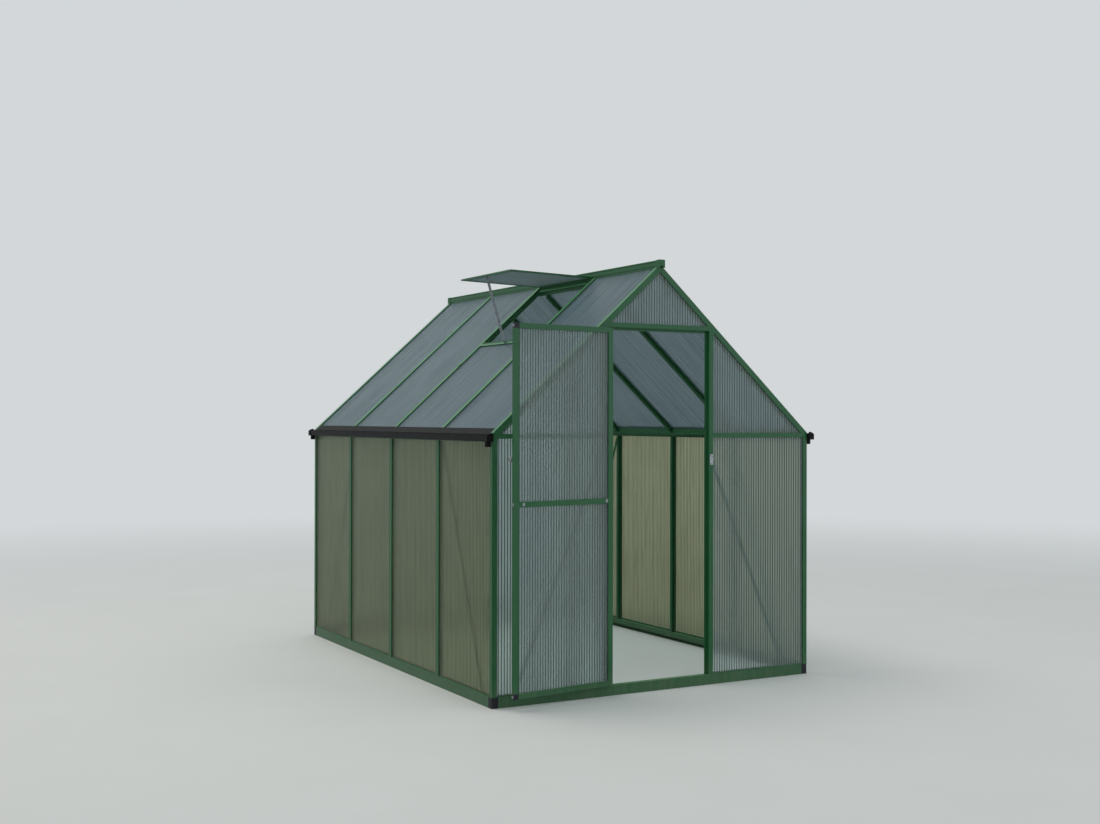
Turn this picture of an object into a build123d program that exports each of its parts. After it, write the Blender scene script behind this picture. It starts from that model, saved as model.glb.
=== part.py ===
from build123d import *
import os
from math import cos, radians, sin, tan

# Polycarbonate greenhouse: powder-coated aluminium sections around 4 mm twin-wall sheets.
# Millimetres. X runs across the front gable, Y goes from the front gable to the back one,
# Z is up. The origin lies on the ground, in the middle of the front base rail's foot.

# Overall sizes
half_w = 925            # centre line to the outer face of a side wall
length = 2450           # outer face of the front gable to that of the back gable
pitch = 42              # roof slope in degrees
eave_z = 1267           # height of the roof's outer face over the side wall's face
base_h = 50
face_y = -8             # outer face of the front gable
back_y = face_y + length
mid_y = (face_y + back_y) / 2
bay = length / 4        # side studs stand at every quarter

# Section sizes
metal = 2               # wall of every extruded section
sheet = 4               # thickness of the glazing sheets
seat = 0.3              # room between pieces that bear on each other
sheet_d = 6             # outer face of a section to the outer face of the sheet it holds
sheet_back = sheet_d + sheet
lip_in = sheet_d - seat     # a section's outer lip stops here, in front of the sheet
lip_back = sheet_back + seat    # and its inner lip starts here
bar_face = 32           # seen width of a stud or roof bar
bar_half = bar_face / 2
bar_depth = 32
web = 2                 # middle web of a glazing bar
foot_half = 8           # half width of a glazing bar's inner flange
post_face = 25          # corner post, seen from the gable
post_lip = 34           # its inner lip, behind the gable's sheet
post_side = 25          # corner post, seen from the side
rafter_face = 28        # gable rafter, seen from the gable
tube = 16               # hollow core of a corner post or rafter
sheet_in = tube + 3     # where a sheet's edge stops inside a post's slot
sheet_edge = sheet_in + seat
sheet_web = web / 2 + 3     # where a sheet's edge stops short of a glazing bar's middle
post_in = post_face + seat  # inner edge of the posts
rafter_in = rafter_face + seat      # and of the rafters

# Roof faces
c, s, t = cos(radians(pitch)), sin(radians(pitch)), tan(radians(pitch))


def roof_z(x, depth=0):
    """Height of the roof's outer face at x, or of a line that deep inside it."""
    return eave_z + (half_w - abs(x)) * t - depth / c


def roof_x(z, depth=0):
    """Distance from the centre line where that line comes down to z."""
    return half_w - (z - eave_z + depth / c) / t


# Ridge
ridge_half = 17
ridge_rise = 21         # top of the ridge over the roof's outer faces
ridge_top = roof_z(0) + ridge_rise
ridge_deep = 81         # top of the ridge to the underside of its beam
beam_half = 8
hold_x = ridge_half - 3     # outer face of the legs that hold the roof sheets down
seat_x = ridge_half + 14    # half width of the ridge's seats under the roof sheets
ridge_over = 12         # ridge and gutters reach this far past each gable

# Heights under the eave
tube_low = 25           # underside of the eave rail's tube, below the eave
slot_low = 14           # the wall sheets' slot reaches that much lower
tube_z0 = eave_z - tube_low
eave_rail_z0 = tube_z0 - slot_low
wall_top = tube_z0 - metal
tie_h = 22              # cross bar of a gable
tie_z1 = eave_z - 1
tie_z0 = tie_z1 - tie_h
tie_mid = (tie_z0 + tie_z1) / 2

# Gutter
gutter_w = 34           # wall's face to the gutter's outer face
gutter_h = 30
gutter_out = half_w + gutter_w
gutter_z1 = eave_z - 5
gutter_z0 = gutter_z1 - gutter_h
bar_end = half_w - 28   # where the roof bars stop at the eave
spout_r = 13.5
spout_len = 24
flange = 1.5            # thickness of the spout's collar under the gutter
cap_t = 3               # thickness of the gutter's end caps
cap_len = 28            # and how far their sides run along the gutter

# Door, doorway and hinge
door_half = 292         # half the leaf's width
door_gap = 5            # leaf to frame on every side
jamb_w = 25
jamb_in = door_half + door_gap
jamb_out = jamb_in + jamb_w
head_h = 23
head_z1 = roof_z(jamb_out) - 6      # the head bar's top corners tuck in under the rafters
head_z0 = head_z1 - head_h
leaf_t = 16
leaf_z0 = base_h + door_gap
leaf_z1 = head_z0 - door_gap
stop_w = 14             # the jambs' stop laps this much behind the gap and the leaf
stop_d = leaf_t + door_gap
pin_out = 6             # hinge axis in front of the gable's face
pin_y = face_y - pin_out
knuckle_r = 5
pin_r = 2
pin_gap = 0.3           # hinge pin to the bore it turns in
open_angle = -172.1     # the leaf as it stands open

# Vent
vent_len = 493
vent_lap = 7            # the vent's sides lap this much over the roof bars' faces
vent_half = bay / 2 - bar_half + vent_lap
vent_t = 8
vent_skirt = 10         # height of the skirt along its free edge
vent_rise = 4.7         # middle of its hinge edge over the roof's face
sill_x = ridge_half + vent_len * c + 8      # middle of the bar under the vent opening
sill_half = 11

os.makedirs("parts", exist_ok=True)

# Working planes
front = Plane(origin=(0, face_y, 0), x_dir=(1, 0, 0), z_dir=(0, -1, 0))
mid_plane = Plane(origin=(0, mid_y, 0), x_dir=(1, 0, 0), z_dir=(0, 1, 0))
spare = 60              # sections are drawn this much too long, then cut to the pieces they meet
left_slope = Plane(origin=(-half_w - spare * c, face_y, eave_z - spare * s), x_dir=(0, -1, 0), z_dir=(c, 0, s))
leaf = Plane(origin=(-door_half, pin_y, 0),
             x_dir=(cos(radians(open_angle)), sin(radians(open_angle)), 0), z_dir=(0, 0, 1))
slope_len = (half_w + 2 * spare) / c
above_z = ridge_top + spare     # over and under everything in the roof
below_z = base_h


def strip(x0, x1, y0, y1, mode=Mode.ADD):
    """Rectangle between two corners."""
    with Locations(((x0 + x1) / 2, (y0 + y1) / 2)):
        Rectangle(abs(x1 - x0), abs(y1 - y0), mode=mode)


def block(x0, x1, y0, y1, z0, z1, mode=Mode.SUBTRACT):
    """Box between two corners."""
    with Locations(((x0 + x1) / 2, (y0 + y1) / 2, (z0 + z1) / 2)):
        Box(abs(x1 - x0), abs(y1 - y0), abs(z1 - z0), mode=mode)


def bar_section():
    """Glazing bar: x across the bar, y from its outer face inwards."""
    strip(-bar_half, bar_half, 0, metal)
    strip(-bar_half, -bar_half + metal, metal, lip_in)
    strip(bar_half - metal, bar_half, metal, lip_in)
    strip(-web / 2, web / 2, metal, bar_depth - metal)
    strip(-bar_half + 3, bar_half - 3, lip_back, lip_back + metal)
    strip(-foot_half, foot_half, bar_depth - metal, bar_depth)
    strip(-foot_half, -foot_half + 1.5, bar_depth - metal - 3, bar_depth - metal)
    strip(foot_half - 1.5, foot_half, bar_depth - metal - 3, bar_depth - metal)


def corner_section(face, lip):
    """Corner post or gable rafter: x along the gable's face, y along the side's."""
    strip(0, tube, 0, tube)
    strip(metal, tube - metal, metal, tube - metal, mode=Mode.SUBTRACT)
    strip(tube, face, 0, metal)
    strip(face - metal, face, metal, lip_in)
    strip(tube, lip, lip_back, lip_back + metal)
    strip(0, metal, tube, post_side)
    strip(metal, lip_in, post_side - metal, post_side)
    strip(lip_back, lip_back + metal, tube, post_side)


base_lip = 10           # the rail's inner lip stands this high behind the sheets


def base_section():
    """Base rail: x from its outer face inwards, y up."""
    strip(0, metal, 0, base_h)
    strip(0, bar_half, 0, metal)
    strip(0, bar_depth, base_h - metal, base_h)
    strip(bar_depth - metal, bar_depth, base_h - 28, base_h)
    strip(lip_in - metal, lip_in, base_h, base_h + 6)
    strip(lip_back, lip_back + metal, base_h, base_h + base_lip)


def tie_section(z0, z1):
    """Cross bar between two sheets: x from its outer face inwards, y up."""
    mid = (z0 + z1) / 2
    strip(0, metal, z0, z1)
    strip(metal, lip_in, z0, z0 + metal)
    strip(metal, lip_in, z1 - metal, z1)
    strip(metal, tube, mid - web / 2, mid + web / 2)
    strip(lip_back, lip_back + metal, z0 + 2, z1 - 2)


def under_rafters(depth):
    """Keeps what lies under a line that deep inside both roof slopes."""
    wide = half_w + 3 * spare
    with BuildSketch(front.offset(spare)) as below:
        with BuildLine():
            Polyline((-wide, roof_z(wide, depth)), (0, roof_z(0, depth)), (wide, roof_z(wide, depth)),
                     (wide, -spare), (-wide, -spare), close=True)
        make_face()
    extrude(below.sketch, amount=-(length + 2 * spare), mode=Mode.INTERSECT)


flange_w = 44           # the rafters' inner flange reaches this far under the roof's outer face
flange_d = stop_d       # and lies this deep behind the gable's face


def flange_room():
    """Slots for the rafters' inner flanges."""
    wide = half_w + spare
    for y in (face_y + flange_d - seat, back_y - flange_d - metal - seat):
        with BuildSketch(Plane(origin=(0, y, 0), x_dir=(1, 0, 0), z_dir=(0, -1, 0))) as slot:
            with BuildLine():
                Polyline((-wide, roof_z(wide)), (0, roof_z(0)), (wide, roof_z(wide)),
                         (wide, roof_z(wide, flange_w + seat)), (0, roof_z(0, flange_w + seat)),
                         (-wide, roof_z(wide, flange_w + seat)), close=True)
            make_face()
        extrude(slot.sketch, amount=-(metal + 2 * seat), mode=Mode.SUBTRACT)


# Base rails
foot = 34               # length of a corner foot's legs
foot_leg = 12           # and their thickness
rail_x = half_w - foot - seat
with BuildPart() as base_front:
    with BuildSketch(Plane(origin=(-rail_x, face_y, 0), x_dir=(0, 1, 0), z_dir=(1, 0, 0))):
        base_section()
    extrude(amount=2 * rail_x)
    block(-jamb_out - seat, jamb_out + seat, face_y - 1, face_y + bar_depth + 1, base_h, base_h + 2 * base_lip)
base_front.part.label = "base_front"
export_step(base_front.part, "parts/base_front.step")

stud_x = jamb_out - bar_half    # back gable studs stand behind the jambs
stud_room = bar_half + seat     # the lips are cut away around a stud
with BuildPart() as base_back:
    with BuildSketch(Plane(origin=(rail_x, back_y, 0), x_dir=(0, -1, 0), z_dir=(-1, 0, 0))):
        base_section()
    extrude(amount=2 * rail_x)
    for x in (-stud_x, stud_x):
        block(x - stud_room, x + stud_room, back_y - bar_depth - 1, back_y + 1, base_h, base_h + 2 * base_lip)
base_back.part.label = "base_back"
export_step(base_back.part, "parts/base_back.step")

rail_y = foot + seat
stud_y = [face_y + k * bay for k in range(5)]
with BuildPart() as base_left:
    with BuildSketch(Plane(origin=(-half_w, back_y - rail_y, 0), x_dir=(1, 0, 0), z_dir=(0, -1, 0))):
        base_section()
    extrude(amount=length - 2 * rail_y)
    for k in (1, 2, 3):
        block(-half_w - 1, -half_w + bar_depth + 1, stud_y[k] - stud_room, stud_y[k] + stud_room,
              base_h, base_h + 2 * base_lip)
base_left.part.label = "base_left"
export_step(base_left.part, "parts/base_left.step")

with BuildPart() as base_right:
    with BuildSketch(Plane(origin=(half_w, face_y + rail_y, 0), x_dir=(-1, 0, 0), z_dir=(0, 1, 0))):
        base_section()
    extrude(amount=length - 2 * rail_y)
    for k in (1, 2, 3):
        block(half_w - bar_depth - 1, half_w + 1, stud_y[k] - stud_room, stud_y[k] + stud_room,
              base_h, base_h + 2 * base_lip)
base_right.part.label = "base_right"
export_step(base_right.part, "parts/base_right.step")

with BuildPart() as base_corners:
    with BuildSketch():
        strip(-half_w, -half_w + foot, face_y, face_y + foot)
        strip(-half_w + foot_leg, -half_w + foot + 1, face_y + foot_leg, face_y + foot + 1, mode=Mode.SUBTRACT)
    extrude(amount=base_h)
    chamfer(base_corners.edges().filter_by(Axis.Z).sort_by_distance((-half_w, face_y, base_h / 2))[0], 1.5)
    mirror(about=Plane.YZ)
    mirror(about=mid_plane)
base_corners.part.label = "base_corners"
export_step(base_corners.part, "parts/base_corners.step")

# Corner posts, cut off under the rafters
with BuildPart() as corner_post_front_left:
    with BuildSketch(Plane(origin=(-half_w, face_y, base_h + seat), x_dir=(1, 0, 0), z_dir=(0, 0, 1))):
        corner_section(post_face, post_lip)
    extrude(amount=eave_z)
    under_rafters(rafter_in)
corner_post_front_left.part.label = "corner_post_front_left"
export_step(corner_post_front_left.part, "parts/corner_post_front_left.step")

with BuildPart() as corner_post_front_right:
    add(corner_post_front_left.part)
    mirror(about=Plane.YZ, mode=Mode.REPLACE)
corner_post_front_right.part.label = "corner_post_front_right"
export_step(corner_post_front_right.part, "parts/corner_post_front_right.step")

with BuildPart() as corner_post_back_left:
    add(corner_post_front_left.part)
    mirror(about=mid_plane, mode=Mode.REPLACE)
corner_post_back_left.part.label = "corner_post_back_left"
export_step(corner_post_back_left.part, "parts/corner_post_back_left.step")

with BuildPart() as corner_post_back_right:
    add(corner_post_front_right.part)
    mirror(about=mid_plane, mode=Mode.REPLACE)
corner_post_back_right.part.label = "corner_post_back_right"
export_step(corner_post_back_right.part, "parts/corner_post_back_right.step")

# Side studs between the base and the eave rails
stud_z0 = base_h + seat
stud_len = eave_rail_z0 - seat - stud_z0
with BuildPart() as studs_left:
    with BuildSketch(Plane(origin=(-half_w, face_y, stud_z0), x_dir=(0, -1, 0), z_dir=(0, 0, 1))):
        with Locations((-bay, 0), (-2 * bay, 0), (-3 * bay, 0)):
            bar_section()
    extrude(amount=stud_len)
studs_left.part.label = "studs_left"
export_step(studs_left.part, "parts/studs_left.step")

with BuildPart() as studs_right:
    add(studs_left.part)
    mirror(about=Plane.YZ, mode=Mode.REPLACE)
studs_right.part.label = "studs_right"
export_step(studs_right.part, "parts/studs_right.step")

# Back gable studs run up to the rafters
with BuildPart() as studs_back:
    with BuildSketch(Plane(origin=(0, back_y, stud_z0), x_dir=(-1, 0, 0), z_dir=(0, 0, 1))):
        with Locations((-stud_x, 0), (stud_x, 0)):
            bar_section()
    extrude(amount=ridge_top)
    under_rafters(rafter_in)
    flange_room()
studs_back.part.label = "studs_back"
export_step(studs_back.part, "parts/studs_back.step")

# Eave rails: a sloping tube with the wall sheets' slot below it
eave_end = post_side + seat
with BuildPart() as eave_rail_left:
    with BuildSketch(front.offset(-eave_end)):
        with BuildLine():
            Polyline((-half_w, tube_z0), (-bar_end, tube_z0), (-bar_end, roof_z(bar_end, lip_back)),
                     (-half_w, roof_z(half_w, lip_back)), close=True)
        make_face()
        offset(amount=-metal, kind=Kind.INTERSECTION, mode=Mode.SUBTRACT)
        strip(-half_w, -half_w + metal, eave_rail_z0, tube_z0)
        strip(-half_w, -half_w + lip_in, eave_rail_z0, eave_rail_z0 + metal)
        strip(-half_w + lip_back, -half_w + lip_back + metal, eave_rail_z0, tube_z0)
    extrude(amount=-(length - 2 * eave_end))
eave_rail_left.part.label = "eave_rail_left"
export_step(eave_rail_left.part, "parts/eave_rail_left.step")

with BuildPart() as eave_rail_right:
    add(eave_rail_left.part)
    mirror(about=Plane.YZ, mode=Mode.REPLACE)
eave_rail_right.part.label = "eave_rail_right"
export_step(eave_rail_right.part, "parts/eave_rail_right.step")

# Gutters: a sloping cover over the sheets' lower ends, then the open trough
cover_end = half_w + seat + metal
spout_x = half_w + gutter_w / 2
spout_y = face_y + ridge_over
spout_top = gutter_z0 - seat
spouts = [(-spout_x, spout_y), (-spout_x, 2 * mid_y - spout_y)]
with BuildPart() as gutter_left:
    with BuildSketch(front.offset(-eave_end)):
        with BuildLine():
            Polyline((-cover_end, roof_z(cover_end)), (-bar_end, roof_z(bar_end)),
                     (-bar_end, roof_z(bar_end, lip_in)), (-bar_end - metal, roof_z(bar_end + metal, lip_in)),
                     (-bar_end - metal, roof_z(bar_end + metal, metal)),
                     (-cover_end, roof_z(cover_end, metal)), close=True)
        make_face()
    extrude(amount=-(length - 2 * eave_end))
    with BuildSketch(front.offset(ridge_over)):
        strip(-cover_end, -half_w - seat, gutter_z0, roof_z(cover_end, 1))
        strip(-gutter_out, -half_w - seat, gutter_z0, gutter_z0 + metal)
        strip(-gutter_out, -gutter_out + metal, gutter_z0, gutter_z1)
        strip(-gutter_out, -gutter_out + 6, gutter_z1 - metal, gutter_z1)
    extrude(amount=-(length + 2 * ridge_over))
    with Locations([(x, y, gutter_z0 + metal / 2) for x, y in spouts]):
        Cylinder(spout_r - metal, 2 * metal, mode=Mode.SUBTRACT)
gutter_left.part.label = "gutter_left"
export_step(gutter_left.part, "parts/gutter_left.step")

with BuildPart() as gutter_right:
    add(gutter_left.part)
    mirror(about=Plane.YZ, mode=Mode.REPLACE)
gutter_right.part.label = "gutter_right"
export_step(gutter_right.part, "parts/gutter_right.step")

# Gutter end caps
cap_x = gutter_out + seat + metal
cap_z0 = gutter_z0 - metal
cap_z1 = gutter_z1 - 3
with BuildPart() as gutter_ends:
    with BuildSketch(front.offset(ridge_over + seat)):
        with BuildLine():
            Polyline((-cap_x, cap_z0), (-cap_x, cap_z1), (-cap_x + 10, gutter_z1 + 4),
                     (-half_w - 9, eave_z + 5), (-half_w - 1, eave_z - 1), (-half_w - 1, cap_z0), close=True)
        make_face()
    extrude(amount=cap_t)
    with BuildSketch(front.offset(ridge_over + seat)):
        strip(-cap_x, -cap_x + metal, cap_z0, cap_z1)
    extrude(amount=-cap_len)
    mirror(about=Plane.YZ)
    mirror(about=mid_plane)
gutter_ends.part.label = "gutter_ends"
export_step(gutter_ends.part, "parts/gutter_ends.step")

# Spouts under the gutters' ends, each with a collar against the gutter's floor
with BuildPart() as gutter_spouts:
    with Locations([(x, y, spout_top) for x, y in spouts]):
        Cylinder(spout_r, spout_len + flange, align=(Align.CENTER, Align.CENTER, Align.MAX))
        Cylinder(spout_r + 2.5, flange, align=(Align.CENTER, Align.CENTER, Align.MAX))
        Cylinder(spout_r - metal, spout_len + flange, align=(Align.CENTER, Align.CENTER, Align.MAX),
                 mode=Mode.SUBTRACT)
    mirror(about=Plane.YZ)
gutter_spouts.part.label = "gutter_spouts"
export_step(gutter_spouts.part, "parts/gutter_spouts.step")

# Ridge: a deep box beam under a cap with a lip and a broad band along its sides, over seats for
# the sheets; cut away over the rafters' ends
lip_low = ridge_top - 6
band_top = ridge_top - 12
band_low = ridge_top - 28
hold_in = hold_x - metal
band_in = ridge_half - metal
with BuildPart() as ridge:
    seats = [(beam_half, roof_z(beam_half, lip_back)), (seat_x, roof_z(seat_x, lip_back))]
    with BuildSketch(front.offset(ridge_over)):
        with BuildLine():
            Polyline((0, ridge_top), (ridge_half - 2, ridge_top), (ridge_half, ridge_top - 2),
                     (ridge_half, lip_low), (hold_x, lip_low - 1), (hold_x, band_top + 1),
                     (ridge_half, band_top), (ridge_half, band_low), (hold_x, band_low - 1),
                     (hold_x, roof_z(hold_x, lip_in)), (hold_in, roof_z(hold_in, lip_in)),
                     (hold_in, band_low + 1), (band_in, band_low + metal), (band_in, band_top - metal),
                     (hold_in, band_top - 1), (hold_in, ridge_top - metal), (beam_half, ridge_top - metal),
                     seats[0], seats[1], (seat_x, seats[1][1] - metal / c),
                     (beam_half, seats[0][1] - metal / c), (beam_half, ridge_top - ridge_deep),
                     (0, ridge_top - ridge_deep), close=True)
        make_face()
        strip(0, beam_half - metal, ridge_top - ridge_deep + metal, ridge_top - metal, mode=Mode.SUBTRACT)
        mirror(about=Plane.YZ)
    extrude(amount=-(length + 2 * ridge_over))
    # the ends are cut away over the rafters
    for y0, y1 in ((-ridge_over - 1, eave_end), (length - eave_end, length + ridge_over + 1)):
        with BuildSketch(front.offset(-y0)):
            with BuildLine():
                Polyline((-spare, roof_z(spare) + seat), (0, roof_z(0) + seat), (spare, roof_z(spare) + seat),
                         (spare, roof_z(0) - 3 * spare), (-spare, roof_z(0) - 3 * spare), close=True)
            make_face()
        extrude(amount=-(y1 - y0), mode=Mode.SUBTRACT)
ridge.part.label = "ridge"
export_step(ridge.part, "parts/ridge.step")

# Moulded caps over the ridge's ends, each with a flap in front of the rafters' mitre
hood = 1.5              # their wall
hood_len = 30
hood_x = ridge_half + seat + hood
hood_z = ridge_top + seat + hood
with BuildPart() as ridge_end_caps:
    with BuildSketch(front.offset(ridge_over + seat + hood)):
        with BuildLine():
            Polyline((0, roof_z(0) + seat), (hood_x, roof_z(hood_x) + seat), (hood_x, hood_z - 3),
                     (hood_x - 3, hood_z), (0, hood_z), close=True)
        make_face()
        mirror(about=Plane.YZ)
    extrude(amount=-hood_len)
    with BuildSketch(front.offset(ridge_over + seat)):
        with BuildLine():
            Polyline((0, roof_z(0) - spare), (hood_x - hood, roof_z(0) - spare), (hood_x - hood, ridge_top - 2),
                     (ridge_half - 2, hood_z - hood), (0, hood_z - hood), close=True)
        make_face()
        mirror(about=Plane.YZ)
    extrude(amount=-hood_len, mode=Mode.SUBTRACT)
    with BuildSketch(front.offset(ridge_over + seat)):
        with BuildLine():
            Polyline((0, roof_z(0) - 6), (hood_x, roof_z(hood_x) - 2), (hood_x, roof_z(0)),
                     (0, roof_z(0) + 2), close=True)
        make_face()
        mirror(about=Plane.YZ)
    extrude(amount=hood)
    mirror(about=mid_plane)
ridge_end_caps.part.label = "ridge_end_caps"
export_step(ridge_end_caps.part, "parts/ridge_end_caps.step")

# Gable rafters, mitred at the ridge, with an inner flange that stops short of the posts
rafter_plane = Plane(origin=left_slope.origin, x_dir=(s, 0, -c), z_dir=(c, 0, s))
flange_end = spare + post_face + 12
with BuildPart() as rafters:
    with BuildSketch(rafter_plane):
        corner_section(rafter_face, rafter_face)
    extrude(amount=slope_len)
    with BuildSketch(rafter_plane.offset(flange_end)):
        strip(tube - metal, tube, tube, flange_d + metal)
        strip(tube, flange_w, flange_d, flange_d + metal)
    extrude(amount=slope_len - flange_end)
    block(-half_w, -seat / 2, face_y - 1, face_y + 2 * post_face, below_z, above_z, mode=Mode.INTERSECT)
    mirror(about=Plane.YZ)
    mirror(about=mid_plane)
rafters.part.label = "rafters"
export_step(rafters.part, "parts/rafters.step")

# Roof bars between the ridge and the eaves
with BuildPart() as roof_bars_left:
    with BuildSketch(left_slope):
        with Locations((-bay, 0), (-2 * bay, 0), (-3 * bay, 0)):
            bar_section()
    extrude(amount=slope_len)
    block(-bar_end + seat, -hold_x - seat, face_y, back_y, below_z, above_z, mode=Mode.INTERSECT)
    # room for the ridge's sheet seat
    with BuildSketch(front):
        with BuildLine():
            Polyline((-seat_x - 1, roof_z(seat_x + 1, sheet_back)), (0, roof_z(0, sheet_back)),
                     (0, roof_z(0) - 3 * spare), (-seat_x - 1, roof_z(0) - 3 * spare), close=True)
        make_face()
    extrude(amount=-length, mode=Mode.SUBTRACT)
roof_bars_left.part.label = "roof_bars_left"
export_step(roof_bars_left.part, "parts/roof_bars_left.step")

with BuildPart() as roof_bars_right:
    add(roof_bars_left.part)
    mirror(about=Plane.YZ, mode=Mode.REPLACE)
roof_bars_right.part.label = "roof_bars_right"
export_step(roof_bars_right.part, "parts/roof_bars_right.step")

# Cross bars of the gables
with BuildPart() as tie_bars_front:
    with BuildSketch(Plane(origin=(jamb_out + seat, face_y, 0), x_dir=(0, 1, 0), z_dir=(1, 0, 0))):
        tie_section(tie_z0, tie_z1)
    extrude(amount=half_w - post_in - jamb_out - seat)
    under_rafters(rafter_in)
    # room for the post's inner lip
    block(half_w - post_lip - seat, half_w, face_y + sheet_back, face_y + tube + 1, tie_z0, tie_z1)
    mirror(about=Plane.YZ)
tie_bars_front.part.label = "tie_bars_front"
export_step(tie_bars_front.part, "parts/tie_bars_front.step")

with BuildPart() as tie_bars_back:
    x_in = stud_x + stud_room
    with BuildSketch(Plane(origin=(x_in, back_y, 0), x_dir=(0, -1, 0), z_dir=(-1, 0, 0))):
        tie_section(tie_z0, tie_z1)
    extrude(amount=-(half_w - post_in - x_in))
    block(half_w - post_lip - seat, half_w, back_y - tube - 1, back_y - sheet_back, tie_z0, tie_z1)
    mirror(about=Plane.YZ)
    with BuildSketch(Plane(origin=(stud_x - stud_room, back_y, 0), x_dir=(0, -1, 0), z_dir=(-1, 0, 0))):
        tie_section(tie_z0, tie_z1)
        tie_section(head_z0, head_z1)
    extrude(amount=2 * (stud_x - stud_room))
    under_rafters(rafter_in)
tie_bars_back.part.label = "tie_bars_back"
export_step(tie_bars_back.part, "parts/tie_bars_back.step")

# Doorway: head and jambs with a stop behind the leaf
head_half = jamb_out + spare
with BuildPart() as door_head:
    with BuildSketch(Plane(origin=(-head_half, face_y, 0), x_dir=(0, 1, 0), z_dir=(1, 0, 0))):
        strip(0, metal, head_z0, head_z1)
        strip(metal, lip_in, head_z1 - metal, head_z1)
        strip(0, stop_d + metal, head_z0, head_z0 + metal)
        strip(stop_d, stop_d + metal, head_z0 - door_gap - 8, head_z0 + metal)
        strip(lip_back, lip_back + metal, head_z0, head_z1 - 4)
    extrude(amount=2 * head_half)
    under_rafters(rafter_in)
    flange_room()
    for x0, x1 in ((-head_half, -jamb_in + stop_w + seat), (jamb_in - stop_w - seat, head_half)):
        block(x0, x1, face_y - 1, face_y + 2 * bar_depth, head_z0 - spare, head_z0)
door_head.part.label = "door_head"
export_step(door_head.part, "parts/door_head.step")

# Jambs; the left one carries the hinge's fixed knuckles
knuckles = 6
hinge_end = 10          # the hinge stops short of the leaf's ends
hinge_z0 = leaf_z0 + hinge_end
hinge_pitch = (leaf_z1 - hinge_end - hinge_z0) / knuckles
hinge_leaf = 4          # thickness of the strap behind the knuckles
hinge_x = -door_half - 11   # its outer edge on the jamb
with BuildPart() as door_jambs:
    with BuildSketch(Plane(origin=(0, face_y, stud_z0), x_dir=(1, 0, 0), z_dir=(0, 0, 1))):
        strip(jamb_in, jamb_out, 0, metal)
        strip(jamb_out - metal, jamb_out, metal, lip_in)
        strip(jamb_in, jamb_in + metal, 0, bar_depth)
        strip(jamb_in - stop_w, jamb_in, stop_d, stop_d + metal)
        strip(jamb_in, jamb_out - 4, lip_back, lip_back + metal)
        strip(jamb_in, jamb_in + 15, bar_depth - metal, bar_depth)
    extrude(amount=head_z0 - seat - stud_z0)
    under_rafters(rafter_in)
    flange_room()
    mirror(about=Plane.YZ)
    for k in (0, 2, 4):
        z0 = hinge_z0 + k * hinge_pitch + seat
        z1 = hinge_z0 + (k + 1) * hinge_pitch - seat
        with Locations((-door_half, pin_y, (z0 + z1) / 2)):
            Cylinder(knuckle_r, z1 - z0)
        block(hinge_x, -door_half, pin_y - hinge_leaf / 2, pin_y + hinge_leaf / 2, z0, z1, mode=Mode.ADD)
        block(hinge_x, hinge_x + hinge_leaf, pin_y - hinge_leaf / 2, face_y + metal / 2, z0, z1, mode=Mode.ADD)
    with Locations((-door_half, pin_y, hinge_z0 + knuckles * hinge_pitch / 2)):
        Cylinder(pin_r, knuckles * hinge_pitch + 2)
door_jambs.part.label = "door_jambs"
export_step(door_jambs.part, "parts/door_jambs.step")

# Latch plate on the free jamb, at the knob's height
knob_z = 1150
latch_x = (jamb_in + jamb_out) / 2
latch_z = knob_z - 17.5
latch_h = 53
with BuildPart() as latch_plate:
    with BuildSketch(front.offset(seat)):
        with Locations((latch_x, latch_z)):
            RectangleRounded(20, latch_h, 2)
        with Locations((latch_x, latch_z + latch_h / 2 - 7), (latch_x, latch_z - latch_h / 2 + 7)):
            Circle(2.2, mode=Mode.SUBTRACT)
    extrude(amount=1.8)
latch_plate.part.label = "latch_plate"
export_step(latch_plate.part, "parts/latch_plate.step")

# Wall sheets
sheet_z0 = base_h + 0.8
sheet_y = [(stud_y[k] + sheet_web, stud_y[k + 1] - sheet_web) for k in range(4)]
sheet_y[0] = (face_y + sheet_edge, sheet_y[0][1])
sheet_y[3] = (sheet_y[3][0], back_y - sheet_edge)
with BuildPart() as wall_sheets_left:
    for y0, y1 in sheet_y:
        block(-half_w + sheet_d, -half_w + sheet_back, y0, y1, sheet_z0, wall_top, mode=Mode.ADD)
wall_sheets_left.part.label = "wall_sheets_left"
export_step(wall_sheets_left.part, "parts/wall_sheets_left.step")

with BuildPart() as wall_sheets_right:
    add(wall_sheets_left.part)
    mirror(about=Plane.YZ, mode=Mode.REPLACE)
wall_sheets_right.part.label = "wall_sheets_right"
export_step(wall_sheets_right.part, "parts/wall_sheets_right.step")

# Roof sheets; the one under the vent stops at the vent's sill
roof_low = half_w - 4
roof_high = beam_half + 2
with BuildPart() as roof_sheets_right:
    for y0, y1 in sheet_y:
        with BuildSketch(Plane.XZ.offset(-y0)):
            with BuildLine():
                Polyline((roof_low, roof_z(roof_low, sheet_d)), (roof_high, roof_z(roof_high, sheet_d)),
                         (roof_high, roof_z(roof_high, sheet_back)), (roof_low, roof_z(roof_low, sheet_back)),
                         close=True)
            make_face()
        extrude(amount=-(y1 - y0))
roof_sheets_right.part.label = "roof_sheets_right"
export_step(roof_sheets_right.part, "parts/roof_sheets_right.step")

with BuildPart() as roof_sheets_left:
    add(roof_sheets_right.part)
    mirror(about=Plane.YZ, mode=Mode.REPLACE)
    block(-sill_x + 3, 0, stud_y[1], stud_y[2], below_z, above_z)
roof_sheets_left.part.label = "roof_sheets_left"
export_step(roof_sheets_left.part, "parts/roof_sheets_left.step")

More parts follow.
